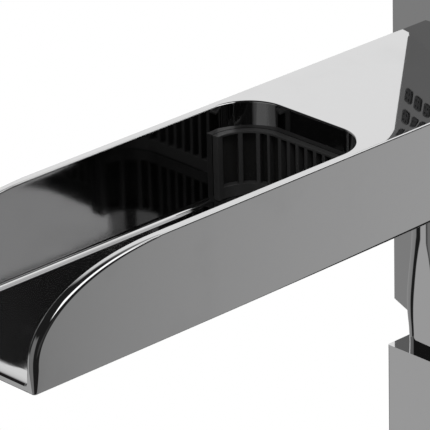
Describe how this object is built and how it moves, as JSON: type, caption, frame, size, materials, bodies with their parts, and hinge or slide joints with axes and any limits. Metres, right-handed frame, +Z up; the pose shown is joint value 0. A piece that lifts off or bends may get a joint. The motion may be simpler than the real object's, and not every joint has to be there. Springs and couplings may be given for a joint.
{
  "type": "floor-mounted bath filler",
  "caption": "Floor-mounted bath filler with an open waterfall spout on a square column, a lever mixer bar and a spray wand in a swivelling dock.",
  "frame": {"origin": "on the floor under the column axis, in the middle of the floor bolt pattern", "axes": "+Z up along the column, -Y along the spout toward the outlet, -X the hot side"},
  "size_m": [0.1437, 0.3234, 1.0035],
  "materials": {
    "chrome_plate": "polished chrome plate on brass",
    "steel": "plain stainless steel",
    "brass": "machined brass",
    "copper_tube": "drawn copper tube",
    "valve_plastic": "moulded valve plastic",
    "black_plastic": "black glossy plastic",
    "soft_rubber": "soft silicone rubber",
    "zinc_casting": "plain die casting"
  },
  "bodies": {
    "stand": {"floor_plate": "steel", "inlet_block": "brass", "column_foot": "zinc_casting", "base_screws": "steel", "floor_cover": "chrome_plate", "column_lower": "chrome_plate", "foot_screws": "steel", "hot_riser": "copper_tube", "cold_riser": "copper_tube", "mixer_body": "chrome_plate", "hot_cartridge": "valve_plastic", "cold_cartridge": "valve_plastic", "hot_bonnet": "chrome_plate", "cold_bonnet": "chrome_plate", "diverter_cartridge": "valve_plastic", "diverter_bonnet": "chrome_plate", "hose_outlet": "chrome_plate", "column_upper": "chrome_plate", "feed_pipe": "copper_tube", "neck": "chrome_plate", "neck_stud": "brass", "neck_nuts": "brass", "neck_seals": "soft_rubber", "spout_body": "chrome_plate", "spout_comb": "black_plastic", "flow_plate": "steel", "spout_end_cap": "chrome_plate", "dock_arm": "chrome_plate", "arm_screws": "steel"},
    "hot_valve": {"hot_spindle": "brass", "hot_handle": "chrome_plate", "hot_handle_screw": "steel"},
    "cold_valve": {"cold_spindle": "brass", "cold_handle": "chrome_plate", "cold_handle_screw": "steel"},
    "diverter": {"diverter_stem": "brass", "diverter_knob": "chrome_plate"},
    "dock": {"dock_pin": "steel", "pin_ring": "steel", "dock_sleeve": "chrome_plate", "dock_liner": "black_plastic"},
    "wand": {"wand_body": "chrome_plate", "wand_face": "chrome_plate", "wand_pads": "soft_rubber", "wand_inlet": "brass"}
  },
  "joints": [
    {"name": "hot_turn", "type": "hinge", "parent": "stand", "child": "hot_valve", "pos_m": [-0.05, 0, 0.636], "axis": [1, 0, 0], "range_deg": [0, 90]},
    {"name": "cold_turn", "type": "hinge", "parent": "stand", "child": "cold_valve", "pos_m": [0.05, 0, 0.636], "axis": [1, 0, 0], "range_deg": [0, 90]},
    {"name": "diverter_turn", "type": "hinge", "parent": "stand", "child": "diverter", "pos_m": [0, -0.02, 0.636], "axis": [0, 1, 0], "range_deg": [0, 90]},
    {"name": "dock_swivel", "type": "hinge", "parent": "stand", "child": "dock", "pos_m": [0, 0.046, 0.774], "axis": [0, 0, 1], "range_deg": [-75, 0]},
    {"name": "wand_lift", "type": "slide", "parent": "dock", "child": "wand", "axis": [0, 0, 1], "range_m": [0, 0.16]}
  ]
}
